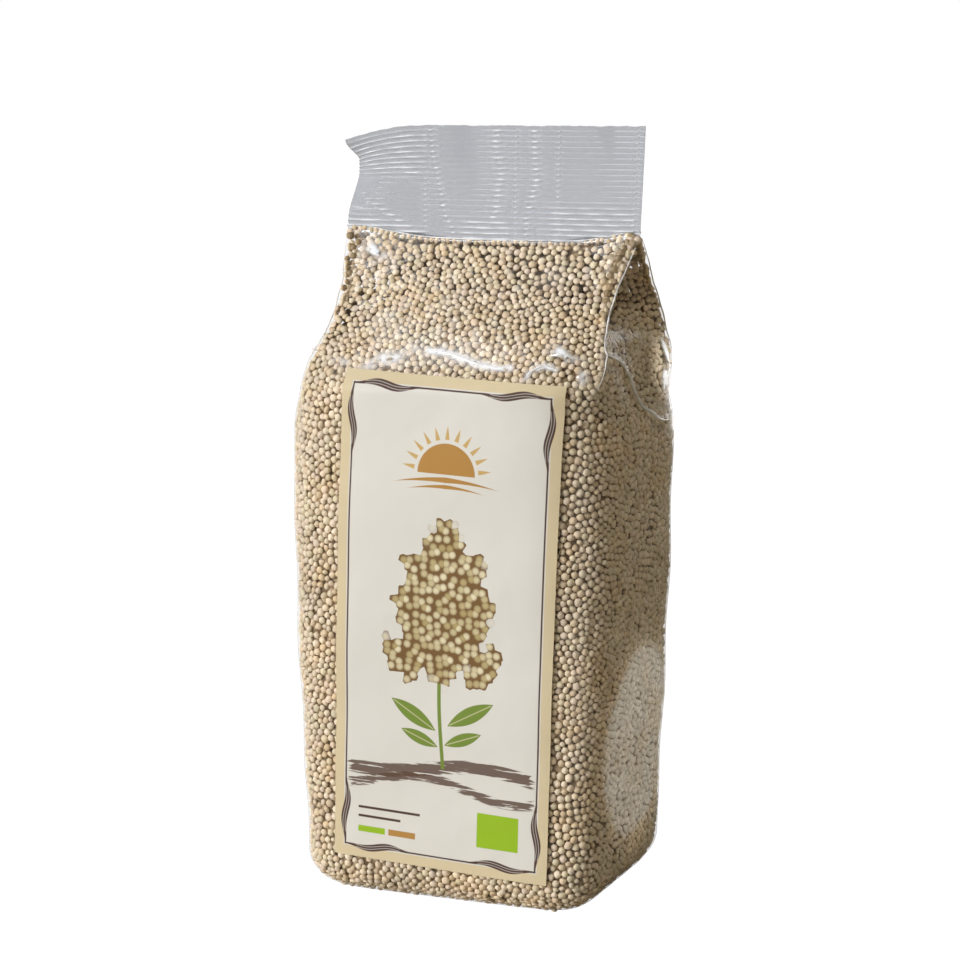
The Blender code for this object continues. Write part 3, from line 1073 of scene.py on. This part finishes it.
def footGrains(chance):
    # The grains that rest on the flat of the foot, in staggered rows
    pitch = 2.04 * grain["radius"][0]
    halfX = tube["baseHalf"][0] - tube["edgeRadius"]
    halfY = tube["baseHalf"][1] - tube["edgeRadius"]
    places = []
    for row, y in enumerate(np.arange(-halfY, halfY, pitch * 0.87)):
        for x in np.arange(-halfX, halfX, pitch):
            places.append((x + (row % 2) * pitch / 2, y + tube["headerY"]))
    places = np.array(places) + chance.normal(0, 0.00012, (len(places), 2))
    return np.column_stack([places, np.zeros(len(places))])


def lastRow(chance):
    # The row of small grains caught just under the seal
    under, pitch, _ = grain["rowUnder"]
    edge = tube["flatWidth"] / 2 - 0.0016
    x = np.arange(tube["headerX"] - edge, tube["headerX"] + edge, pitch)
    x = x + chance.normal(0, 0.00015, len(x))
    level = sealAt(x) - under + chance.normal(0, 0.00016, len(x))
    return np.column_stack([x, np.full(len(x), tube["headerY"]), level])


def grainPlaces(chance):
    # Where the grains touch the film, the way out from there, their radius and how much painted sheen pales
    # them
    tables = surfaceTable()
    u, v, radius = packGrains(tables, chance)
    at, outward = readTable(tables[0], u, v), readTable(tables[3], u, v)
    outward /= np.linalg.norm(outward, axis=1, keepdims=True)
    level = at[:, 2] - riseAt(at[:, 0]) * ease(tube["riseFrom"], tube["headerZ"], at[:, 2])
    _, front, back = halfSizes(level, tube["solidHalf"])
    closing = 1 - ease(sagAt(at[:, 0]) - tube["sagRun"], sagAt(at[:, 0]), level)
    keep = (front + back) * closing > grain["topDepth"]
    keep = keep & ~underLabel(at, 0.003) & (at[:, 2] < sealAt(at[:, 0]) - 0.0007)
    at, outward, radius = at[keep], outward[keep], radius[keep]
    # Painted sheen: grains behind the widest hazy strip and under the dull patch are painted paler
    middle, _, half = film["hazes"][1]
    pale = grain["paintedSheenStrip"] * np.exp(-((u[keep] - middle) / half) ** 2) * (1 - ease(0.128, 0.142, at[:, 2]))
    away = np.linalg.norm(at - np.array(film["patchMiddle"]), axis=1)
    pale = np.maximum(pale, 1 - ease(film["patchRadius"] - 0.0025, film["patchRadius"], away))
    foot = footGrains(chance)
    footRadius = np.clip(chance.normal(*grain["radius"], len(foot)), *grain["radiusEnds"])
    row = lastRow(chance)
    down, forwards = np.array([[0.0, 0.0, -1.0]]), np.array([[0.0, -1.0, 0.0]])
    outward = np.concatenate([outward, down.repeat(len(foot), 0), forwards.repeat(len(row), 0)])
    radius = np.concatenate([radius, footRadius, np.full(len(row), grain["rowUnder"][2])])
    pale = np.concatenate([pale, np.zeros(len(foot) + len(row))])
    return np.concatenate([at, foot, row]), outward, radius, pale, len(row)


def makeGrains():
    chance = np.random.default_rng(grain["seed"])
    at, outward, radius, pale, inRow = grainPlaces(chance)
    count = len(at)
    tilt = np.radians(np.abs(chance.normal(0, grain["tilt"], count)))
    onEdge = chance.random(count) < grain["onEdge"]
    tilt = np.where(onEdge, np.radians(chance.uniform(45, 85, count)), tilt)
    flatness = grain["flatness"] * chance.uniform(0.85, 1.2, count)
    reach = radius * np.sqrt((flatness * np.cos(tilt)) ** 2 + (0.92 * np.sin(tilt)) ** 2)
    deeper = np.abs(chance.normal(0, grain["scatter"], count))
    centre = at - outward * (reach + grain["gap"] + deeper)[:, None]
    centre[-inRow:] = at[-inRow:]
    spin, lean = chance.uniform(0, 2 * math.pi, count), chance.uniform(0, 2 * math.pi, count)
    axes = turnMatrices(outward, tilt, spin, lean)
    long = chance.uniform(0.92, 1.10, count)
    shape, faces = grainShape()
    each = len(shape)
    shares = np.array([share for _, _, share in grainLooks.values()])
    kind = chance.choice(len(shares), count, p=shares / shares.sum())
    tone = chance.random(count)
    for index, (name, (face, rimAndPaintedShade, _)) in enumerate(grainLooks.items()):
        mine = np.flatnonzero(kind == index)
        local = np.repeat(shape[None], len(mine), axis=0) * radius[mine][:, None, None]
        local[:, :, 0] *= long[mine][:, None]
        local[:, :, 2] *= (flatness[mine] / grain["flatness"])[:, None]
        local *= 1 + 0.05 * chance.standard_normal((len(mine), each, 1))
        turned = sum(local[:, :, axis:axis + 1] * axes[axis][mine][:, None, :] for axis in range(3))
        # How deep each vertex lies under the film, for the rim colour and the painted shade of the grain's
        # lower parts
        inward = -(turned * outward[mine][:, None, :]).sum(axis=2)
        inward = inward + (reach[mine] - 0.30 * radius[mine])[:, None]
        points = turned + (centre[mine] + shift)[:, None, :]
        starts = range(0, each * len(mine), each)
        allFaces = [tuple(vertex + start for vertex in corners) for start in starts for corners in faces]
        mesh = bpy.data.meshes.new("grains_" + name)
        mesh.from_pydata(points.reshape(-1, 3).tolist(), [], allFaces)
        addMark(mesh, "tone", np.repeat(tone[mine], each))
        addMark(mesh, "rimAndPaintedShade", (inward / radius[mine][:, None]).ravel())
        addMark(mesh, "pale", np.repeat(pale[mine], each))
        mesh.shade_smooth()
        piece = bpy.data.objects.new("grains_" + name, mesh)
        bpy.context.scene.collection.objects.link(piece)
        finishPiece(piece, makeGrainLook(name, face, rimAndPaintedShade), "quinoa", "bag")
    print("grains:", count)


core = {
    "steps": (400, 225),
    "heights": (0.0014, 0.1540),
    "inset": 0.00128,  # from the film
    "deeperInset": (0.0006, 0.140, 0.150),  # how much more at the top, and where it grows
    "mostInset": 0.42,  # as a share of the bag's depth
    "plainAbove": (0.134, 0.145),  # where it passes to a plain rounded form, free of the gussets
    "relief": 0.0009,
    "pitch": 0.0019,
    "reliefEnds": (0.146, 0.150),
}


def makeCore():
    piece, share = flatSheet("quinoa_core", *core["steps"])
    low, high = core["heights"]
    z = low + share[:, 1] * (high - low)
    points, outward = filmSurface(np.mod(share[:, 0], 1), z)
    halfX, front, back = halfSizes(z, tube["solidHalf"])
    more, start, end = core["deeperInset"]
    inset = np.minimum(core["inset"] + more * ease(start, end, z), core["mostInset"] * (front + back))
    points = points - outward * inset[:, None]
    turn = 2 * math.pi * (share[:, 0] - 0.11)
    across = np.sign(np.cos(turn)) * np.abs(np.cos(turn)) ** 0.6
    deep = np.sign(np.sin(turn)) * np.abs(np.sin(turn)) ** 0.6
    x = tube["headerX"] + across * (halfX - tuckAt(z) - 0.0030)
    y = tube["headerY"] + deep * np.maximum(np.where(deep > 0, back, front) - inset, 0.0001)
    plain = ease(*core["plainAbove"], z)
    points[:, 0] += (x - points[:, 0]) * plain
    points[:, 1] += (y - points[:, 1]) * plain
    writePoints(piece, points + shift)
    finishTube(piece)
    texture = bpy.data.textures.new("grain_relief", "VORONOI")
    texture.noise_scale = core["pitch"]
    smooth = readPoints(piece)
    applyModifier(piece, "DISPLACE", texture=texture, strength=-core["relief"], mid_level=0.5)
    bpy.data.textures.remove(texture)
    fade = 1 - ease(*core["reliefEnds"], smooth[:, 2])
    writePoints(piece, smooth + (readPoints(piece) - smooth) * fade[:, None])
    smoothShade(piece, 60)
    finishPiece(piece, makeCoreLook(), "quinoa", "bag")


# The label: paper on the front, a little askew, with a plain generic print
label = {
    "width": 0.0545,
    "height": 0.1175,
    "centre": (0.0025, 0.0684),
    "turn": math.radians(2.3),
    "lift": 0.00018,
    "thickness": 0.00016,
    "steps": (60, 128),
}


def labelPlace(points):
    # How far right and up a point is from the label's middle, along the label's own edges
    right = points[:, 0] - label["centre"][0]
    upward = points[:, 2] - label["centre"][1]
    turn = label["turn"]
    return right * math.cos(turn) - upward * math.sin(turn), right * math.sin(turn) + upward * math.cos(turn)


def frontFilmY(x, z):
    # The front film's y at places on the front, read from rings between the front creases
    around = np.linspace(runShares[3] + 0.001, 0.999, 240)
    found = np.empty(len(x))
    for height in np.unique(z.round(6)):
        mine = np.abs(z - height) < 6e-7
        ring = tubePoint(around, height)
        found[mine] = np.interp(x[mine], ring[:, 0], ring[:, 1])
    return found


def makeLabel():
    piece, share = flatSheet("label_sheet", *label["steps"])
    across = (share[:, 0] - 0.5) * label["width"]
    upward = (share[:, 1] - 0.5) * label["height"]
    turn = label["turn"]
    x = label["centre"][0] + across * math.cos(turn) + upward * math.sin(turn)
    z = label["centre"][1] - across * math.sin(turn) + upward * math.cos(turn)
    y = frontFilmY(x, z) - label["lift"]
    y = y + 0.00006 * np.sin(170 * x + 60 * z) * np.sin(210 * z + 1.0)
    writePoints(piece, np.column_stack([x, y, z]) + shift)
    thicken(piece, label["thickness"], 1.0, 40)
    finishPiece(piece, makeLabelLook(), "label_paper", "label")


def printed(red, green, blue):
    # A colour as seen on screen, from 0 to 255, as the shaders take it
    return colour(*[((level / 255 + 0.055) / 1.055) ** 2.4 for level in (red, green, blue)])


printing = {
    "border": printed(213, 197, 161),
    "panel": printed(219, 216, 206),
    "ink": printed(84, 64, 58),
    "gold": printed(178, 134, 72),
    "paleGold": printed(200, 166, 104),
    "leaf": printed(118, 140, 62),
    "lime": printed(150, 186, 44),
    "earth": printed(96, 74, 62),
    "seedPale": printed(226, 216, 180),
    "seedDark": printed(176, 158, 108),
    "seedGap": printed(120, 92, 58),
    "frameAt": 2.9,  # of the frame line, from the paper's edge, in mm as all below
    "frameHalf": 0.20,
    "curlLong": 8.5,  # half length of the leaf strokes in the frame line
    "curlFrom": 11.5,  # from a corner to the middle of a leaf stroke
    "sun": (0.0, 36.5, 7.2, 11.2),  # middle, radius of the disc and of the rays
    "seedPitch": 1.9,
    "plume": (  # middle, half width, half height and turn in degrees of the seed head's lobes
        (0.0, 6.0, 6.6, 20.0, 0), (-6.6, -1.0, 4.2, 11.0, 24), (6.8, 0.5, 4.2, 11.0, -24),
        (-6.0, 10.0, 3.4, 8.0, 22), (6.0, 11.0, 3.4, 8.0, -22),
        (-10.4, -8.5, 3.4, 6.5, 38), (10.6, -8.0, 3.4, 6.5, -38),
    ),
    "leaves": (  # middle, half length, half width, turn
        (-7.0, -21.5, 6.6, 1.9, 150), (7.4, -20.0, 6.6, 1.9, 30),
        (-5.4, -27.0, 5.0, 1.5, 160), (5.6, -26.2, 5.0, 1.5, 22),
    ),
    "hills": ((-34.5, 1.7, 9.0, 0.4), (-38.5, 1.2, 7.0, 2.2)),  # height, half thickness, wavelength, phase
}


def makeLabelLook():
    look, tree = emptyMaterial("label_print")
    uv = addNode(tree, "ShaderNodeUVMap")
    u, v, _ = splitPlace(uv.outputs[0])

    def away(first, second):
        return calc("SQRT", plus(times(first, first), times(second, second)))

    def inside(distance, soft=0.07):
        # 1 where a distance is below nothing
        return ramp(distance, soft, -soft)

    def turned(first, second, midX, midY, degrees):
        angle = math.radians(degrees)
        x0, y0 = minus(first, midX), minus(second, midY)
        along = plus(times(x0, math.cos(angle)), times(y0, math.sin(angle)))
        across = minus(times(y0, math.cos(angle)), times(x0, math.sin(angle)))
        return along, across

    def box(first, second, midX, midY, halfX, halfY):
        return larger(minus(absolute(minus(first, midX)), halfX),
                      minus(absolute(minus(second, midY)), halfY))

    def lay(paint, mask, ink):
        return mixColour(tree, mask, paint, ink)

    halfWide, halfTall = label["width"] * 500, label["height"] * 500
    x = times(minus(u, 0.5), 2 * halfWide)
    y = times(minus(v, 0.5), 2 * halfTall)
    spot = addNode(tree, "ShaderNodeCombineXYZ")
    plug(x, spot.inputs[0])
    plug(y, spot.inputs[1])
    flat = spot.outputs[0]
    fromSide = minus(halfWide, absolute(x))
    fromEnd = minus(halfTall, absolute(y))
    edge = calc("MINIMUM", fromSide, fromEnd)
    paint = lay(printing["border"], ramp(edge, 2.35, 2.5), printing["panel"])

    # Frame line that swells to a wavy leaf stroke near each corner
    for toLine, toCorner in ((fromSide, fromEnd), (fromEnd, fromSide)):
        along = calc("DIVIDE", minus(toCorner, printing["curlFrom"]), printing["curlLong"])
        swell = larger(minus(1.0, times(along, along)), 0.0)
        wave = times(calc("SINE", times(along, 3.4)), times(swell, 0.60))
        gap = absolute(minus(minus(toLine, printing["frameAt"]), wave))
        thick = timesPlus(times(swell, swell), 0.70, printing["frameHalf"])
        stroke = minus(gap, thick)
        stroke = larger(stroke, minus(printing["frameAt"] - printing["frameHalf"], toCorner))
        paint = lay(paint, inside(stroke), printing["ink"])
        # A pale slit along the leaf
        slit = minus(absolute(minus(gap, 0.30)), 0.07)
        slit = larger(slit, minus(0.55, swell))
        paint = lay(paint, times(inside(slit), 0.7), printing["panel"])

    # Half sun with rays over two arcs
    sunX, sunY, disc, reach = printing["sun"]
    upSun = minus(y, sunY)
    ring = away(minus(x, sunX), upSun)
    below = times(upSun, -1.0)
    paint = lay(paint, inside(larger(minus(ring, disc), below)), printing["gold"])
    angle = calc("ARCTAN2", upSun, minus(x, sunX))
    wedge = minus(calc("FRACT", times(angle, 11 / math.pi)), 0.5)
    ray = minus(times(absolute(wedge), 2.2), calc("DIVIDE", minus(reach, ring), 6.0))
    ray = larger(larger(ray, minus(disc + 0.9, ring)), below)
    paint = lay(paint, inside(ray), printing["paleGold"])
    for drop, wide, curve in ((1.3, 13.0, 0.008), (2.9, 9.5, 0.012)):
        arc = plus(timesPlus(times(x, x), curve, drop), upSun)
        thick = times(minus(wide, absolute(x)), 0.05)
        paint = lay(paint, inside(minus(absolute(arc), thick)), printing["gold"])

    # Dry-brushed ground
    streaks = addNode(tree, "ShaderNodeVectorMath", operation="MULTIPLY")
    plug(flat, streaks.inputs[0])
    streaks.inputs[1].default_value = (0.10, 1.5, 1.0)
    bristle = noiseOf(streaks.outputs[0], 1.0, 3.0, 0.6)
    for height, half, length, phase in printing["hills"]:
        crestLine = timesPlus(calc("SINE", timesPlus(x, 1 / length, phase)), 1.9, height)
        gap = minus(absolute(minus(y, crestLine)), half)
        ends = minus(absolute(x), 23.0)
        dry = times(minus(0.50, bristle), 9.0)
        stroke = larger(larger(gap, timesPlus(gap, 0.9, dry)), plus(ends, dry))
        paint = lay(paint, times(inside(stroke, 0.2), 0.92), printing["earth"])

    # Stem, leaves and a seed head of printed grains
    stem = minus(absolute(minus(x, times(calc("SINE", times(y, 0.12)), 0.7))), 0.45)
    stem = larger(stem, minus(absolute(plus(y, 22.0)), 12.0))
    paint = lay(paint, inside(stem), printing["leaf"])
    for midX, midY, long, wide, degrees in printing["leaves"]:
        along, across = turned(x, y, midX, midY, degrees)
        share = calc("DIVIDE", along, long)
        blade = times(minus(1.0, times(share, share)), wide)
        paint = lay(paint, inside(minus(absolute(across), blade)), printing["leaf"])
        vein = larger(minus(absolute(across), 0.12), minus(0.35, blade))
        paint = lay(paint, times(inside(vein), 0.6), printing["seedPale"])
    cells = cellsOf(flat, 1 / printing["seedPitch"], voronoi_dimensions="2D")
    cells.inputs["Randomness"].default_value = 0.75
    seedX, seedY, _ = splitPlace(cells.outputs["Position"])
    head = 99.0
    for midX, midY, wide, tall, degrees in printing["plume"]:
        across, along = turned(seedX, seedY, midX, midY, degrees)
        lobe = minus(away(calc("DIVIDE", across, wide), calc("DIVIDE", along, tall)), 1.0)
        head = calc("MINIMUM", head, lobe)
    headMask = inside(head, 0.02)
    tint, _, _ = splitPlace(cells.outputs["Color"])
    grainInk = mixColour(tree, tint, printing["seedPale"], printing["seedDark"])
    rimmed = ramp(cells.outputs["Distance"], 0.20, 0.50)
    grainInk = mixColour(tree, times(rimmed, 0.55), grainInk, printing["seedGap"])
    grainInk = mixColour(tree, ramp(cells.outputs["Distance"], 0.44, 0.56), grainInk, printing["seedGap"])
    paint = lay(paint, headMask, grainInk)

    # Plain fields of colour at the foot
    paint = lay(paint, inside(minus(box(x, y, 14.8, -47.6, 4.6, 3.6), 0.6)), printing["lime"])
    for midX, midY, halfX, halfY, ink in (
        (-13.0, -46.2, 8.0, 0.30, "ink"), (-15.5, -48.4, 5.5, 0.30, "ink"), (-17.5, -51.6, 3.5, 0.75, "lime"),
        (-9.6, -51.6, 3.5, 0.75, "gold"),
    ):
        paint = lay(paint, inside(box(x, y, midX, midY, halfX, halfY)), printing[ink])

    # Paper: a fine mottle, a soft sheen and small waves
    mottle = noiseOf(flat, 2.2, 4.0, 0.6)
    shaded = mixColour(tree, times(mottle, 0.10), paint, printed(236, 228, 208), "MULTIPLY")
    fibre = bumpFrom(noiseOf(flat, 6.0, 3.0), 0.10, 0.00006)
    waves = bumpFrom(noiseOf(flat, 0.16, 1.0), 0.25, 0.0010, fibre)
    return finishLook(look, principled(tree, shaded, timesPlus(mottle, 0.16, 0.34), 0.4, waves))


# Stage: camera, floor, light
stage = {
    "camera": (0.2397, -0.5900, 0.1920),
    "yaw": 22.25,
    "pitch": 8.33,
    "lens": 99.4,
    "key": 4.1,
    "keyAngle": 44.0,
    "keyFrom": (-0.62, -0.75, 0.22),
    "boxesFar": 0.9,
    "boxesAt": (0, 0, 0.13),
    "boxes": (  # name, where from, size, power
        ("softbox", (-0.42, -0.25, 0.87), (0.24, 0.16), 0.80),
        ("card", (-0.40, -0.86, 0.36), (0.50, 0.22), 0.45),
        ("backbox", (-0.10, 0.98, 0.02), (0.62, 0.62), 3.2),
    ),
    "spotsFar": 0.3,
    "spots": (  # at, where from, angle, strength, softness: a glint on the loose film, and the dull patch
        ((0.0400, 0.0185, 0.1266), (0.90, -0.20, 0.30), 0.050, 3.2, 0.70),
        ((0.0395, 0.003, 0.037), (0.90, -0.26, 0.22), 0.180, 0.80, 0.40),
    ),
    "fills": (  # where from, strength, angle
        ((0.44, -0.34, 0.85), 0.57, 8.0),
        ((-0.45, 0.85, 0.30), 1.20, 30.0),
    ),
    "fillTint": (1.0, 0.95, 0.83),
    "keyTint": (0.99, 1.0, 1.05),
    "ambient": 0.05,
    "ambientTint": (1.0, 0.88, 0.68),
    "floorTone": (0.48, 0.425, 0.335),
}


def makeCamera():
    cameraData = bpy.data.cameras.new("camera")
    camera = bpy.data.objects.new("camera", cameraData)
    bpy.context.scene.collection.objects.link(camera)
    camera.location = tuple(np.array(stage["camera"]) + shift)
    camera.rotation_euler = (math.radians(90 - stage["pitch"]), 0, math.radians(stage["yaw"]))
    cameraData.lens = stage["lens"]
    cameraData.sensor_width = 36.0
    bpy.context.scene.camera = camera


def makeFloor():
    # Seen straight on it is near white, and it throws its own warm tone on the bag
    deselectAll()
    bpy.ops.mesh.primitive_plane_add(size=12, location=(0, 0, -0.0003))
    floor = bpy.context.active_object
    floor.name = "floor"
    look, tree = emptyMaterial("floor")
    pale = addNode(tree, "ShaderNodeBsdfDiffuse")
    pale.inputs["Color"].default_value = colour(*stage["floorTone"])
    glow = addNode(tree, "ShaderNodeEmission")
    glow.inputs["Color"].default_value = colour(1, 1, 1)
    glow.inputs["Strength"].default_value = 1.16
    seen = addNode(tree, "ShaderNodeLightPath").outputs["Is Camera Ray"]
    floor.data.materials.append(finishLook(look, mixShaders(times(seen, 0.88), pale, glow)))


def makeLamp(name, kind, power, direction, place=(0, 0, 0), far=0.0, **settings):
    # A lamp that shines on a place from a direction
    lampData = bpy.data.lights.new(name, kind)
    lampData.energy = power
    for key, value in settings.items():
        setattr(lampData, key, value)
    lamp = bpy.data.objects.new(name, lampData)
    bpy.context.scene.collection.objects.link(lamp)
    away = np.array(direction) / np.linalg.norm(direction)
    lamp.location = tuple(np.array(place) + far * away)
    lamp.rotation_euler = (math.acos(away[2]), 0, math.atan2(away[1], away[0]) + math.pi / 2)
    return lamp


def makeLights():
    suns = [(stage["keyFrom"], stage["key"], stage["keyAngle"], stage["keyTint"])]
    suns += [(*fill, stage["fillTint"]) for fill in stage["fills"]]
    for direction, power, angle, tint in suns:
        sun = makeLamp("sun", "SUN", power, direction, angle=math.radians(angle), color=tint)
        sun.visible_glossy = False
    for place, direction, angle, power, softness in stage["spots"]:
        spot = makeLamp("spot", "SPOT", power, direction, np.array(place) + shift, stage["spotsFar"],
                        spot_size=angle, spot_blend=softness, shadow_soft_size=0.004)
        spot.visible_glossy = False
    for name, direction, (wide, tall), power in stage["boxes"]:
        box = makeLamp(name, "AREA", power, direction, stage["boxesAt"], stage["boxesFar"],
                       shape="RECTANGLE", size=wide, size_y=tall)
        box.visible_diffuse = False


def makeRoom():
    world = bpy.data.worlds.new("studio")
    bpy.context.scene.world = world
    world.use_nodes = True
    tree = world.node_tree
    tree.nodes.clear()
    room = addNode(tree, "ShaderNodeBackground")
    room.inputs["Color"].default_value = colour(*stage["ambientTint"])
    room.inputs["Strength"].default_value = stage["ambient"]
    white = addNode(tree, "ShaderNodeBackground")
    white.inputs["Color"].default_value = colour(1, 1, 1)
    seen = addNode(tree, "ShaderNodeLightPath").outputs["Is Camera Ray"]
    out = addNode(tree, "ShaderNodeOutputWorld")
    plug(mixShaders(seen, room, white).outputs[0], out.inputs["Surface"])
    bpy.context.scene.view_settings.view_transform = "Standard"


makeFilm()
makeSeal()
makeSeam()
makeFolds()
makeCore()
makeGrains()
makeLabel()
makeCamera()
makeFloor()
makeLights()
makeRoom()
print("stage set")
